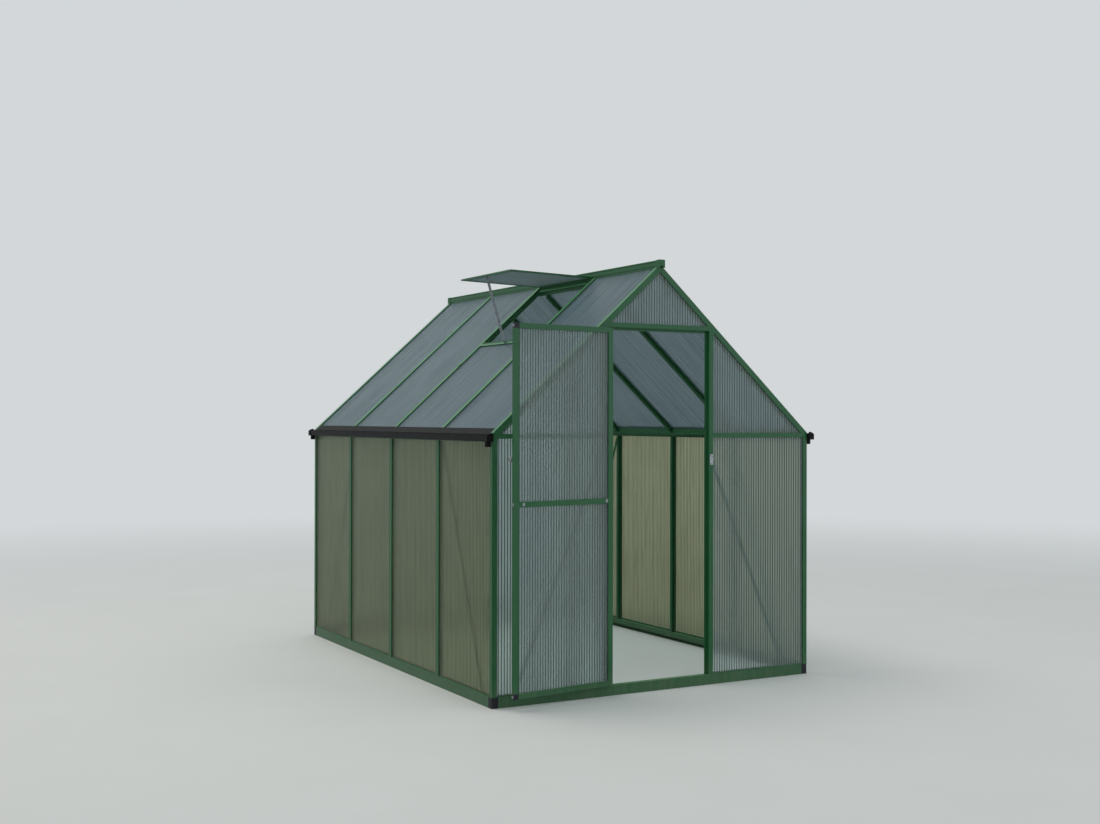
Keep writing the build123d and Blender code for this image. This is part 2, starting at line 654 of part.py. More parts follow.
# Gable sheets
edge_x = half_w - sheet_edge
half_gap = sheet_web - 1    # where a sheet's edge stops short of a cross bar's web
with BuildPart() as gable_sheets_front:
    jamb_x = jamb_out - 9
    with BuildSketch(front.offset(-sheet_d)):
        strip(jamb_x, edge_x, sheet_z0, tie_mid - half_gap)
        with BuildLine():
            Polyline((jamb_x, tie_mid + half_gap), (edge_x, tie_mid + half_gap),
                     (edge_x, roof_z(edge_x, sheet_edge)), (jamb_x, roof_z(jamb_x, sheet_edge)), close=True)
        make_face()
        mirror(about=Plane.YZ)
        top_z = head_z0 + 12
        with BuildLine():
            Polyline((-roof_x(top_z, sheet_edge), top_z), (roof_x(top_z, sheet_edge), top_z),
                     (0, roof_z(0, sheet_edge)), close=True)
        make_face()
    extrude(amount=-sheet)
gable_sheets_front.part.label = "gable_sheets_front"
export_step(gable_sheets_front.part, "parts/gable_sheets_front.step")

with BuildPart() as gable_sheets_back:
    side_x = stud_x + sheet_web
    head_mid = (head_z0 + head_z1) / 2
    with BuildSketch(front.offset(-(length - sheet_back))):
        strip(side_x, edge_x, sheet_z0, tie_mid - half_gap)
        with BuildLine():
            Polyline((side_x, tie_mid + half_gap), (edge_x, tie_mid + half_gap),
                     (edge_x, roof_z(edge_x, sheet_edge)), (side_x, roof_z(side_x, sheet_edge)), close=True)
        make_face()
        mirror(about=Plane.YZ)
        strip(-stud_x + sheet_web, stud_x - sheet_web, sheet_z0, tie_mid - half_gap)
        strip(-stud_x + sheet_web, stud_x - sheet_web, tie_mid + half_gap, head_mid - half_gap)
        top_z = head_mid + half_gap
        with BuildLine():
            Polyline((-roof_x(top_z, sheet_edge), top_z), (roof_x(top_z, sheet_edge), top_z),
                     (0, roof_z(0, sheet_edge)), close=True)
        make_face()
    extrude(amount=-sheet)
gable_sheets_back.part.label = "gable_sheets_back"
export_step(gable_sheets_back.part, "parts/gable_sheets_back.step")

# Vent: sill, raised frame, its sheet and the stay that props it
vent_y = (stud_y[1] + stud_y[2]) / 2
sill_d = 18
with BuildPart() as vent_sill:
    with BuildSketch(Plane(origin=(-sill_x, vent_y, roof_z(sill_x)), x_dir=(c, 0, s), z_dir=(0, -1, 0))):
        strip(-sill_half, sill_half, -metal, 0)
        strip(-sill_half, -sill_half + metal, -lip_in, -metal)
        strip(-web / 2, web / 2, -sill_d, -metal)
        strip(-sill_half + 1, web / 2, -lip_back - metal, -lip_back)
        strip(web / 2, sill_half, -sill_d, -sill_d + metal)
        strip(sill_half - metal, sill_half, -metal, 3)
    extrude(amount=bay / 2 - stud_room, both=True)
vent_sill.part.label = "vent_sill"
export_step(vent_sill.part, "parts/vent_sill.step")

vent_angle = 1.6        # slope of the raised vent in degrees
vent_c, vent_s = cos(radians(vent_angle)), sin(radians(vent_angle))
vent_plane = Plane(origin=(-ridge_half - 0.5, vent_y, roof_z(ridge_half) + vent_rise),
                   x_dir=(-vent_c, 0, vent_s), z_dir=(vent_s, 0, vent_c))
rim = 20
vent_lip = 1.6          # skirt along the free edge
with BuildPart(vent_plane) as vent_frame:
    with Locations((vent_len / 2, 0, 0)):
        Box(vent_len, 2 * vent_half, vent_t)
        Box(vent_len - 2 * rim, 2 * vent_half - 2 * rim, vent_t, mode=Mode.SUBTRACT)
        Box(vent_len - rim, 2 * vent_half - rim, sheet + 2 * seat, mode=Mode.SUBTRACT)
    with Locations((vent_len + vent_lip / 2, 0, (vent_t - vent_skirt) / 2)):
        Box(vent_lip, 2 * vent_half, vent_skirt)
vent_frame.part.label = "vent_frame"
export_step(vent_frame.part, "parts/vent_frame.step")

with BuildPart(vent_plane) as vent_sheet:
    with Locations((vent_len / 2, 0, 0)):
        Box(vent_len - rim - 1, 2 * vent_half - rim - 1, sheet)
vent_sheet.part.label = "vent_sheet"
export_step(vent_sheet.part, "parts/vent_sheet.step")

stay_u = vent_len - 13  # where the stay meets the vent's frame
stay_t = 3
with BuildPart() as vent_stay:
    top_x = vent_plane.origin.X - stay_u * vent_c
    top_z = vent_plane.origin.Z + stay_u * vent_s - (vent_t / 2 + seat) / vent_c - 0.2
    low_x, low_z = -sill_x - 4, roof_z(sill_x + 4) + seat + 8
    with BuildSketch(Plane(origin=(0, vent_y + stay_t / 2, 0), x_dir=(1, 0, 0), z_dir=(0, -1, 0))):
        with BuildLine() as stay_line:
            Line((top_x, top_z - 11), (low_x, low_z))
        trace(line_width=14)
        for k in (1, 2, 3, 4):
            with Locations(stay_line.line @ (0.2 * k)):
                Circle(2.6, mode=Mode.SUBTRACT)
    extrude(amount=stay_t)
    block(top_x - 10, top_x + 10, vent_y - stay_t / 2, vent_y + 16, top_z - 2, top_z, mode=Mode.ADD)
    block(top_x - 10, top_x + 10, vent_y - stay_t / 2, vent_y + stay_t / 2, top_z - 18, top_z, mode=Mode.ADD)
    # the bracket on the sill
    bracket = Plane(origin=(-sill_x, vent_y, roof_z(sill_x) + seat), x_dir=(c, 0, s), z_dir=(0, -1, 0))
    with BuildSketch(bracket):
        strip(-10, 8, 0, 2)
    extrude(amount=16)
    with Locations((low_x, vent_y - 4, low_z)):
        Cylinder(3, 12, rotation=(90, 0, 0))
    with BuildSketch(bracket.offset(10)):
        strip(-9, 5, 0, 18)
    extrude(amount=2)
vent_stay.part.label = "vent_stay"
export_step(vent_stay.part, "parts/vent_stay.step")


# Diagonal braces inside the walls
def brace(plane, top, low, width=20):
    """Flat bar from one point of a wall to another."""
    with BuildSketch(plane) as bar:
        with BuildLine():
            Line(top, low)
        trace(line_width=width)
    extrude(bar.sketch, amount=brace_t)


brace_t = 2
brace_d = bar_depth + seat
brace_z0 = base_h - 22
brace_z1 = eave_rail_z0 - 6
brace_low = base_h - 12
with BuildPart() as side_braces:
    brace(Plane(origin=(-half_w + brace_d, face_y, 0), x_dir=(0, 1, 0), z_dir=(1, 0, 0)),
          (bay - 2, eave_rail_z0 - 18), (bay / 4, brace_low))
    block(-half_w, 0, face_y, back_y, brace_z0, brace_z1, mode=Mode.INTERSECT)
    mirror(about=mid_plane)
    mirror(about=Plane.YZ)
side_braces.part.label = "side_braces"
export_step(side_braces.part, "parts/side_braces.step")

with BuildPart() as gable_braces:
    brace(Plane(origin=(0, face_y + brace_d + brace_t, 0), x_dir=(1, 0, 0), z_dir=(0, -1, 0)),
          (jamb_in + 8, eave_rail_z0 - 32), (half_w - 129, brace_low))
    block(0, half_w, face_y, face_y + 2 * brace_d, brace_z0, brace_z1, mode=Mode.INTERSECT)
    mirror(about=Plane.YZ)
    mirror(about=mid_plane)
gable_braces.part.label = "gable_braces"
export_step(gable_braces.part, "parts/gable_braces.step")

# Door leaf, drawn on the plane of the open leaf: x from the hinge, y from outside to inside
leaf_w = 2 * door_half
leaf_out = pin_out
leaf_in = leaf_out + leaf_t
leaf_metal = 1.8
stile = 28
stile_tube = 16         # hollow edge of a stile
rail = 25
rail_tube = 14          # hollow edge of a rail
slot_d0 = leaf_out + sheet_d
slot_d1 = slot_d0 + sheet
pane_x = stile_tube + 3     # where the door's panes stop inside the stiles' slots


def stile_section():
    """Door stile at the hinge side: hollow edge, then the sheet's slot."""
    strip(0, stile_tube, leaf_out, leaf_in)
    strip(leaf_metal, stile_tube - leaf_metal, leaf_out + leaf_metal, leaf_in - leaf_metal, mode=Mode.SUBTRACT)
    strip(stile_tube, stile, leaf_out, leaf_out + leaf_metal)
    strip(stile_tube, stile, leaf_in - leaf_metal, leaf_in)
    strip(stile - leaf_metal, stile, leaf_out, slot_d0 - seat)
    strip(stile - leaf_metal, stile, slot_d1 + seat, leaf_in)


with BuildPart() as door_stiles:
    with BuildSketch(leaf.offset(leaf_z0)):
        stile_section()
    extrude(amount=leaf_z1 - leaf_z0)
    with BuildSketch(leaf.offset(leaf_z0 + rail + seat)):
        stile_section()
        mirror(about=Plane(origin=(door_half, 0, 0), z_dir=(1, 0, 0)), mode=Mode.REPLACE)
    extrude(amount=leaf_z1 - leaf_z0 - 2 * rail - 2 * seat)
    for k in (1, 3, 5):
        z0 = hinge_z0 + k * hinge_pitch + seat
        z1 = hinge_z0 + (k + 1) * hinge_pitch - seat
        with BuildSketch(leaf.offset(z0)):
            Circle(knuckle_r)
            strip(0, hinge_leaf, 0, leaf_out + leaf_metal / 2)
            Circle(pin_r + pin_gap, mode=Mode.SUBTRACT)
        extrude(amount=z1 - z0)
door_stiles.part.label = "door_stiles"
export_step(door_stiles.part, "parts/door_stiles.step")

mid_z0 = 931
mid_z1 = mid_z0 + rail
mid_core = (rail - 11) / 2      # a sheet's slot on both sides of the middle rail's tube
rail_plane = Plane(origin=leaf.origin, x_dir=leaf.y_dir, z_dir=leaf.x_dir)
with BuildPart() as door_rails:
    with BuildSketch(rail_plane.offset(stile + seat)):
        for z0, z1 in ((leaf_z1 - rail_tube, leaf_z1), (leaf_z0, leaf_z0 + rail_tube),
                       (mid_z0 + mid_core, mid_z1 - mid_core)):
            strip(leaf_out, leaf_in, z0, z1)
            strip(leaf_out + leaf_metal, leaf_in - leaf_metal, z0 + leaf_metal, z1 - leaf_metal,
                  mode=Mode.SUBTRACT)
        for z0, z1, lip_z in ((leaf_z1 - rail, leaf_z1 - rail_tube, leaf_z1 - rail),
                              (leaf_z0 + rail_tube, leaf_z0 + rail, leaf_z0 + rail - leaf_metal),
                              (mid_z0, mid_z0 + mid_core, mid_z0),
                              (mid_z1 - mid_core, mid_z1, mid_z1 - leaf_metal)):
            strip(leaf_out, leaf_out + leaf_metal, z0, z1)
            strip(leaf_in - leaf_metal, leaf_in, z0, z1)
            strip(leaf_out, slot_d0 - seat, lip_z, lip_z + leaf_metal)
            strip(slot_d1 + seat, leaf_in, lip_z, lip_z + leaf_metal)
    extrude(amount=leaf_w - 2 * stile - 2 * seat)
door_rails.part.label = "door_rails"
export_step(door_rails.part, "parts/door_rails.step")

pane_low = leaf_z0 + rail_tube + 2
pane_top = leaf_z1 - rail_tube - 2
with BuildPart() as door_sheets:
    for z0, z1 in ((pane_low, mid_z0 + mid_core - 2), (mid_z1 - mid_core + 2, pane_top)):
        with BuildSketch(leaf.offset(z0)):
            strip(pane_x, leaf_w - pane_x, slot_d0, slot_d1)
        extrude(amount=z1 - z0)
door_sheets.part.label = "door_sheets"
export_step(door_sheets.part, "parts/door_sheets.step")

with BuildPart() as door_corner_blocks:
    for z0 in (leaf_z0, leaf_z1 - rail):
        with BuildSketch(leaf.offset(z0)):
            strip(leaf_w - stile, leaf_w, leaf_out, leaf_in)
        extrude(amount=rail)
    fillet(door_corner_blocks.edges().filter_by(Axis.Z), 1)
    with BuildSketch(leaf.offset(pane_low - 1)):
        strip(leaf_w - stile, leaf_w - pane_x + 1, slot_d0 - seat, slot_d1 + seat)
    extrude(amount=pane_top - pane_low + 2, mode=Mode.SUBTRACT)
door_corner_blocks.part.label = "door_corner_blocks"
export_step(door_corner_blocks.part, "parts/door_corner_blocks.step")

# Knob: neck and head turned as one piece
knob_x = leaf_w - stile / 2
knob_r = 13
knob_neck = 8
knob_out = 36           # face of the stile to the end of the knob
knob_face = Plane(origin=leaf.origin, x_dir=leaf.x_dir, z_dir=-leaf.y_dir).offset(-leaf_out + seat)
knob_foot = knob_face.from_local_coords((knob_x, knob_z, 0))
with BuildPart() as door_knob:
    with BuildSketch(Plane(origin=knob_foot, x_dir=leaf.x_dir, z_dir=(0, 0, -1))):
        with BuildLine():
            Polyline((0, 0), (knob_neck, 0), (knob_neck, 9), (knob_r, 11), (knob_r, knob_out - 3),
                     (knob_r - 3, knob_out), (0, knob_out), close=True)
        make_face()
    revolve(axis=Axis(knob_foot, knob_face.z_dir))
door_knob.part.label = "door_knob"
export_step(door_knob.part, "parts/door_knob.step")
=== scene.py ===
import math

import bpy
from mathutils import Matrix, Vector


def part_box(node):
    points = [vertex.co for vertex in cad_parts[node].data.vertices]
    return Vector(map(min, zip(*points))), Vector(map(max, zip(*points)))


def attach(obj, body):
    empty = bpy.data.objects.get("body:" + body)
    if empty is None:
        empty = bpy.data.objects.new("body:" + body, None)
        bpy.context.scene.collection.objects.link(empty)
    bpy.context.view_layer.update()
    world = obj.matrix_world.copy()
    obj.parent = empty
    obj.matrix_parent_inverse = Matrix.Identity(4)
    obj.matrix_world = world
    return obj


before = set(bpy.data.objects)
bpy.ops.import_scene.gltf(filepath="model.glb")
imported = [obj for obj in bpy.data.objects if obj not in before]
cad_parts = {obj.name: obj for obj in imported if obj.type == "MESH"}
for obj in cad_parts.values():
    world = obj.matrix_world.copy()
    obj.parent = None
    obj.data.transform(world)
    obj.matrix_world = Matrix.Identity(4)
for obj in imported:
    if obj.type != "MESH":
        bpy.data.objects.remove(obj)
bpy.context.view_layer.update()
print("frame loaded")

# The greenhouse's own sizes that the looks share, in metres
house = {
    "halfWidth": 0.925,
    "frontY": -0.008,
    "backY": 2.442,
    "eaveZ": 1.267,
    "pitch": math.radians(42),
    "flutePitch": 0.0153,       # one flute of a sheet, as measured in the photo
}


def roofHeight(x):
    return house["eaveZ"] + (house["halfWidth"] - abs(x)) * math.tan(house["pitch"])


# Small tools
def linearColour(hexText):
    def channel(pair):
        value = int(pair, 16) / 255
        return value / 12.92 if value <= 0.04045 else ((value + 0.055) / 1.055) ** 2.4
    text = hexText.lstrip("#")
    return (channel(text[0:2]), channel(text[2:4]), channel(text[4:6]), 1.0)


def addNode(tree, kind, settings=None, links=None):
    node = tree.nodes.new(kind)
    for key, value in (settings or {}).items():
        if isinstance(key, int) or key in node.inputs:
            node.inputs[key].default_value = value
        else:
            setattr(node, key, value)
    for key, socket in (links or {}).items():
        tree.links.new(socket, node.inputs[key])
    return node


def newMaterial(name):
    material = bpy.data.materials.new(name)
    material.use_nodes = True
    material.node_tree.nodes.clear()
    return material, material.node_tree


def deselectAll():
    if bpy.context.object and bpy.context.object.mode != "OBJECT":
        bpy.ops.object.mode_set(mode="OBJECT")
    bpy.ops.object.select_all(action="DESELECT")


def pick(obj):
    deselectAll()
    obj.select_set(True)
    bpy.context.view_layer.objects.active = obj


def selectFaces(obj, test):
    # leaves the object in edit mode with the faces that pass the test selected
    pick(obj)
    bpy.ops.object.mode_set(mode="EDIT")
    bpy.ops.mesh.select_mode(type="FACE")
    bpy.ops.mesh.select_all(action="DESELECT")
    bpy.ops.object.mode_set(mode="OBJECT")
    for face in obj.data.polygons:
        face.select = test(face)
    bpy.ops.object.mode_set(mode="EDIT")


def settlePiece(obj, name, material, body):
    pick(obj)
    bpy.ops.object.transform_apply(location=True, rotation=True, scale=True)
    obj.name = name
    obj.data.name = name
    obj.data.materials.clear()
    obj.data.materials.append(material)
    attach(obj, body)
    return obj


# Powder-coated aluminium: satin green with a faint orange peel, chalked in patches, painted lighter on faces
# that look up as light from above, streaked a little by rain with dust and splashed at the foot
powderCoat = {
    "green": "#1B5530",
    "chalked": "#2C613D",
    "chalkRange": (0.42, 0.74),     # of the fading noise
    "chalkShare": 0.5,
    # painted light: faces that look up are mixed towards this lighter green, as if lit from above
    "paintedTopLight": "#5A8F66",
    "litTopRange": (0.55, 0.74),       # upward part of the normal, full on the roof's slopes
    "litTopShare": 0.6,
    "dust": "#6F7563",
    "rainRange": (0.52, 0.8),       # of the streak noise
    "rainShare": 0.1,
    "splashShare": 0.5,
    "splashHeight": 0.14,
    "roughness": 0.36,
    "roughnessSpread": (-0.08, 0.18),
    "sheen": 0.3,
    "fadeMm": 320,
    "streakMm": 22,
    "streakStretch": 0.12,
    "peelMm": 2.4,                  # cells of the orange peel
    "peelStrength": 0.15,
    "peelDepth": 0.0003,
}


def makePowderCoat(name):
    look = powderCoat
    material, tree = newMaterial(name)
    place = addNode(tree, "ShaderNodeTexCoord")
    fade = addNode(tree, "ShaderNodeTexNoise",
                   {"Scale": 1000 / look["fadeMm"], "Detail": 5.0, "Roughness": 0.6},
                   {"Vector": place.outputs["Object"]})
    streaks = addNode(tree, "ShaderNodeMapping", {"Scale": (1.0, 1.0, look["streakStretch"])},
                      {"Vector": place.outputs["Object"]})
    rain = addNode(tree, "ShaderNodeTexNoise",
                   {"Scale": 1000 / look["streakMm"], "Detail": 4.0, "Roughness": 0.65},
                   {"Vector": streaks.outputs["Vector"]})
    chalkFrom, chalkTo = look["chalkRange"]
    chalkShare = addNode(tree, "ShaderNodeMapRange",
                         {"From Min": chalkFrom, "From Max": chalkTo, "To Max": look["chalkShare"]},
                         {"Value": fade.outputs["Fac"]})
    paint = addNode(tree, "ShaderNodeMix",
                    {"data_type": "RGBA", 6: linearColour(look["green"]), 7: linearColour(look["chalked"])},
                    {0: chalkShare.outputs["Result"]})
    # painted light from above: the more a face looks up, the more it takes the lighter green
    facing = addNode(tree, "ShaderNodeSeparateXYZ", None, {"Vector": place.outputs["Normal"]})
    topFrom, topTo = look["litTopRange"]
    litTopShare = addNode(tree, "ShaderNodeMapRange",
                       {"From Min": topFrom, "From Max": topTo, "To Max": look["litTopShare"]},
                       {"Value": facing.outputs["Z"]})
    litFromAbove = addNode(tree, "ShaderNodeMix", {"data_type": "RGBA", 7: linearColour(look["paintedTopLight"])},
                       {0: litTopShare.outputs["Result"], 6: paint.outputs[2]})
    axes = addNode(tree, "ShaderNodeSeparateXYZ", None, {"Vector": place.outputs["Object"]})
    low = addNode(tree, "ShaderNodeMapRange",
                  {"From Max": look["splashHeight"], "To Min": look["splashShare"], "To Max": 0.0},
                  {"Value": axes.outputs["Z"]})
    splash = addNode(tree, "ShaderNodeMath", {"operation": "MULTIPLY"},
                     {0: low.outputs["Result"], 1: rain.outputs["Fac"]})
    rainFrom, rainTo = look["rainRange"]
    rainShare = addNode(tree, "ShaderNodeMapRange",
                        {"From Min": rainFrom, "From Max": rainTo, "To Max": look["rainShare"]},
                        {"Value": rain.outputs["Fac"]})
    dustShare = addNode(tree, "ShaderNodeMath", {"operation": "ADD", "use_clamp": True},
                        {0: splash.outputs[0], 1: rainShare.outputs["Result"]})
    dusty = addNode(tree, "ShaderNodeMix", {"data_type": "RGBA", 7: linearColour(look["dust"])},
                    {0: dustShare.outputs[0], 6: litFromAbove.outputs[2]})
    peel = addNode(tree, "ShaderNodeTexNoise", {"Scale": 1000 / look["peelMm"], "Detail": 1.0},
                   {"Vector": place.outputs["Object"]})
    smoothest, roughest = look["roughnessSpread"]
    gloss = addNode(tree, "ShaderNodeMapRange",
                    {"To Min": look["roughness"] + smoothest, "To Max": look["roughness"] + roughest},
                    {"Value": fade.outputs["Fac"]})
    bump = addNode(tree, "ShaderNodeBump", {"Strength": look["peelStrength"], "Distance": look["peelDepth"]},
                   {"Height": peel.outputs["Fac"]})
    coat = addNode(tree, "ShaderNodeBsdfPrincipled", {"IOR": 1.5, "Specular IOR Level": look["sheen"]},
                   {"Base Color": dusty.outputs[2], "Roughness": gloss.outputs["Result"],
                    "Normal": bump.outputs["Normal"]})
    addNode(tree, "ShaderNodeOutputMaterial", None, {"Surface": coat.outputs["BSDF"]})
    return material


# Extruded twin-wall polycarbonate: clear and faintly grey, with a dark line at each web between its two
# walls that is the web with its shadow painted in. The rippled walls blur what stands behind: near bars show
# softly and far ones are smeared away.
# Each wall is only half a millimetre thick and bends light far less than a solid plate, hence the low IOR.
twinWall = {
    "roughness": 0.3,               # below 0.28 the flutes' lines come out grainy
    "roughnessSpread": (-0.02, 0.08),
    "bulge": 0.00007,               # metres, crown of a flute over its webs
    "webShare": 0.06,               # what a web lets through
    "webEdge": (0.75, 0.25),        # shares of a web's line at which it starts and is full
    "ior": 1.16,
    "sheen": 0.25,
    "streakMm": (22, 260),          # across and along the flutes
    "streakRange": (0.42, 0.72),
    "grimeMm": 312.5,
    "shadowTint": "#E9EEEC",
}


def makeTwinWall(name, across, tone):
    material, tree = newMaterial(name)
    place = addNode(tree, "ShaderNodeTexCoord")
    along = addNode(tree, "ShaderNodeVectorMath", {"operation": "DOT_PRODUCT", 1: across},
                    {0: place.outputs["Object"]})
    flutes = addNode(tree, "ShaderNodeMath", {"operation": "MULTIPLY", 1: 1 / house["flutePitch"]},
                     {0: along.outputs["Value"]})
    phase = addNode(tree, "ShaderNodeMath", {"operation": "FRACT"}, {0: flutes.outputs[0]})
    centred = addNode(tree, "ShaderNodeMath", {"operation": "SUBTRACT", 1: 0.5}, {0: phase.outputs[0]})
    away = addNode(tree, "ShaderNodeMath", {"operation": "ABSOLUTE"}, {0: centred.outputs[0]})
    outer, inner = twinWall["webEdge"]
    onWeb = addNode(tree, "ShaderNodeMapRange",
                    {"interpolation_type": "SMOOTHSTEP",
                     "From Min": 0.5 - tone["webWidth"] * outer, "From Max": 0.5 - tone["webWidth"] * inner},
                    {"Value": away.outputs[0]})
    turn = addNode(tree, "ShaderNodeMath", {"operation": "MULTIPLY", 1: 2 * math.pi}, {0: flutes.outputs[0]})
    wave = addNode(tree, "ShaderNodeMath", {"operation": "COSINE"}, {0: turn.outputs[0]})
    grime = addNode(tree, "ShaderNodeTexNoise",
                    {"Scale": 1000 / twinWall["grimeMm"], "Detail": 6.0, "Roughness": 0.6},
                    {"Vector": place.outputs["Object"]})
    # each flute has a tone of its own, and streaks run along it
    eachFlute = addNode(tree, "ShaderNodeMath", {"operation": "FLOOR"}, {0: flutes.outputs[0]})
    fluteTone = addNode(tree, "ShaderNodeTexWhiteNoise", {"noise_dimensions": "1D"},
                        {"W": eachFlute.outputs[0]})
    toneShare = addNode(tree, "ShaderNodeMapRange", {"To Max": tone["unevenness"] / 2},
                        {"Value": fluteTone.outputs["Value"]})
    axes = addNode(tree, "ShaderNodeSeparateXYZ", None, {"Vector": place.outputs["Object"]})
    acrossMm, alongMm = twinWall["streakMm"]
    fineAcross = addNode(tree, "ShaderNodeMath", {"operation": "MULTIPLY", 1: 1000 / acrossMm},
                         {0: along.outputs["Value"]})
    fineAlong = addNode(tree, "ShaderNodeMath", {"operation": "MULTIPLY", 1: 1000 / alongMm},
                        {0: axes.outputs["Z"]})
    streakPlace = addNode(tree, "ShaderNodeCombineXYZ", None,
                          {"X": fineAcross.outputs[0], "Y": fineAlong.outputs[0]})
    streak = addNode(tree, "ShaderNodeTexNoise", {"noise_dimensions": "2D", "Scale": 1.0, "Detail": 2.0},
                     {"Vector": streakPlace.outputs["Vector"]})
    streakFrom, streakTo = twinWall["streakRange"]
    streakShare = addNode(tree, "ShaderNodeMapRange",
                          {"From Min": streakFrom, "From Max": streakTo, "To Max": tone["unevenness"]},
                          {"Value": streak.outputs["Fac"]})
    uneven = addNode(tree, "ShaderNodeMath", {"operation": "ADD", "use_clamp": True},
                     {0: streakShare.outputs["Result"], 1: toneShare.outputs["Result"]})
    # the pane's tint: the sheet's own on the gables, painted reflection and shade on the walls and roof
    clear = addNode(tree, "ShaderNodeMix",
                    {"data_type": "RGBA", 6: linearColour(tone["tintAndReflection"]), 7: linearColour(tone["webAndShadowTint"])},
                    {0: uneven.outputs[0]})
    # painted shade: each web's line takes the dark web colour, the web with its shadow painted in
    striped = addNode(tree, "ShaderNodeMix", {"data_type": "RGBA", 7: linearColour(tone["webAndShadowTint"])},
                      {0: onWeb.outputs["Result"], 6: clear.outputs[2]})
    smoothest, roughest = twinWall["roughnessSpread"]
    gloss = addNode(tree, "ShaderNodeMapRange",
                    {"To Min": twinWall["roughness"] + smoothest, "To Max": twinWall["roughness"] + roughest},
                    {"Value": grime.outputs["Fac"]})
    clearness = addNode(tree, "ShaderNodeMapRange",
                        {"To Min": tone["clearShare"], "To Max": twinWall["webShare"]},
                        {"Value": onWeb.outputs["Result"]})
    bump = addNode(tree, "ShaderNodeBump",
                   {"Strength": 1.0, "Distance": twinWall["bulge"] / 2, "invert": True},
                   {"Height": wave.outputs[0]})
    wall = addNode(tree, "ShaderNodeBsdfPrincipled",
                   {"IOR": twinWall["ior"], "Specular IOR Level": twinWall["sheen"]},
                   {"Base Color": striped.outputs[2], "Roughness": gloss.outputs["Result"],
                    "Transmission Weight": clearness.outputs["Result"], "Normal": bump.outputs["Normal"]})
    # lamps and light from other surfaces pass straight through, as they do through a real sheet
    rays = addNode(tree, "ShaderNodeLightPath")
    passing = addNode(tree, "ShaderNodeBsdfTransparent", {"Color": linearColour(twinWall["shadowTint"])})
    lampsPass = addNode(tree, "ShaderNodeMixShader", None,
                        {0: rays.outputs["Is Shadow Ray"], 1: wall.outputs["BSDF"], 2: passing.outputs["BSDF"]})
    surface = addNode(tree, "ShaderNodeMixShader", None,
                      {0: rays.outputs["Is Diffuse Ray"], 1: lampsPass.outputs["Shader"],
                       2: passing.outputs["BSDF"]})
    addNode(tree, "ShaderNodeOutputMaterial", None, {"Surface": surface.outputs["Shader"]})
    return material


# Polycarbonate webs seen edge on between the walls: smoky, they pass some light on
webLook = {"dark": "#78837F", "light": "#8C9693", "cloudsPerMetre": 9.0, "roughness": 0.35, "alpha": 0.3}


def makeWebMaterial(name):
    material, tree = newMaterial(name)
    place = addNode(tree, "ShaderNodeTexCoord")
    cloud = addNode(tree, "ShaderNodeTexNoise", {"Scale": webLook["cloudsPerMetre"], "Detail": 3.0},
                    {"Vector": place.outputs["Object"]})
    tone = addNode(tree, "ShaderNodeMix",
                   {"data_type": "RGBA", 6: linearColour(webLook["dark"]), 7: linearColour(webLook["light"])},
                   {0: cloud.outputs["Fac"]})
    web = addNode(tree, "ShaderNodeBsdfPrincipled",
                  {"Roughness": webLook["roughness"], "IOR": 1.58, "Alpha": webLook["alpha"]},
                  {"Base Color": tone.outputs[2]})
    addNode(tree, "ShaderNodeOutputMaterial", None, {"Surface": web.outputs["BSDF"]})
    return material


# Glass-filled nylon and ABS mouldings: matt to satin, with a fine moulded grain and pale scuffs
moulding = {
    "grainsPerMetre": 1800.0,       # about half a millimetre each
    "grainStrength": 0.25,
    "grainDepth": 0.0002,
    "scuffsPerMetre": 24.0,
    "scuffRange": (0.52, 0.82),
    "scuffShare": 0.3,
    "roughnessSpread": (-0.06, 0.16),
}


def makeMoulded(name, colour, roughness, scuffed, sheen):
    material, tree = newMaterial(name)
    place = addNode(tree, "ShaderNodeTexCoord")
    grain = addNode(tree, "ShaderNodeTexNoise", {"Scale": moulding["grainsPerMetre"], "Detail": 2.0},
                    {"Vector": place.outputs["Object"]})
    scuff = addNode(tree, "ShaderNodeTexNoise",
                    {"Scale": moulding["scuffsPerMetre"], "Detail": 5.0, "Roughness": 0.7},
                    {"Vector": place.outputs["Object"]})
    scuffFrom, scuffTo = moulding["scuffRange"]
    scuffShare = addNode(tree, "ShaderNodeMapRange",
                         {"From Min": scuffFrom, "From Max": scuffTo, "To Max": moulding["scuffShare"]},
                         {"Value": scuff.outputs["Fac"]})
    tone = addNode(tree, "ShaderNodeMix",
                   {"data_type": "RGBA", 6: linearColour(colour), 7: linearColour(scuffed)},
                   {0: scuffShare.outputs["Result"]})
    bump = addNode(tree, "ShaderNodeBump",
                   {"Strength": moulding["grainStrength"], "Distance": moulding["grainDepth"]},
                   {"Height": grain.outputs["Fac"]})
    smoothest, roughest = moulding["roughnessSpread"]
    gloss = addNode(tree, "ShaderNodeMapRange",
                    {"To Min": roughness + smoothest, "To Max": roughness + roughest},
                    {"Value": scuff.outputs["Fac"]})
    plastic = addNode(tree, "ShaderNodeBsdfPrincipled", {"IOR": 1.53, "Specular IOR Level": sheen},
                      {"Base Color": tone.outputs[2], "Roughness": gloss.outputs["Result"],
                       "Normal": bump.outputs["Normal"]})
    addNode(tree, "ShaderNodeOutputMaterial", None, {"Surface": plastic.outputs["BSDF"]})
    return material


# Galvanised or zinc-plated steel: grey metal in soft spangles, each with its own tone and gloss
zincCoat = {"roughness": (0.32, 0.52), "bumpStrength": 0.2, "bumpDepth": 0.0002}


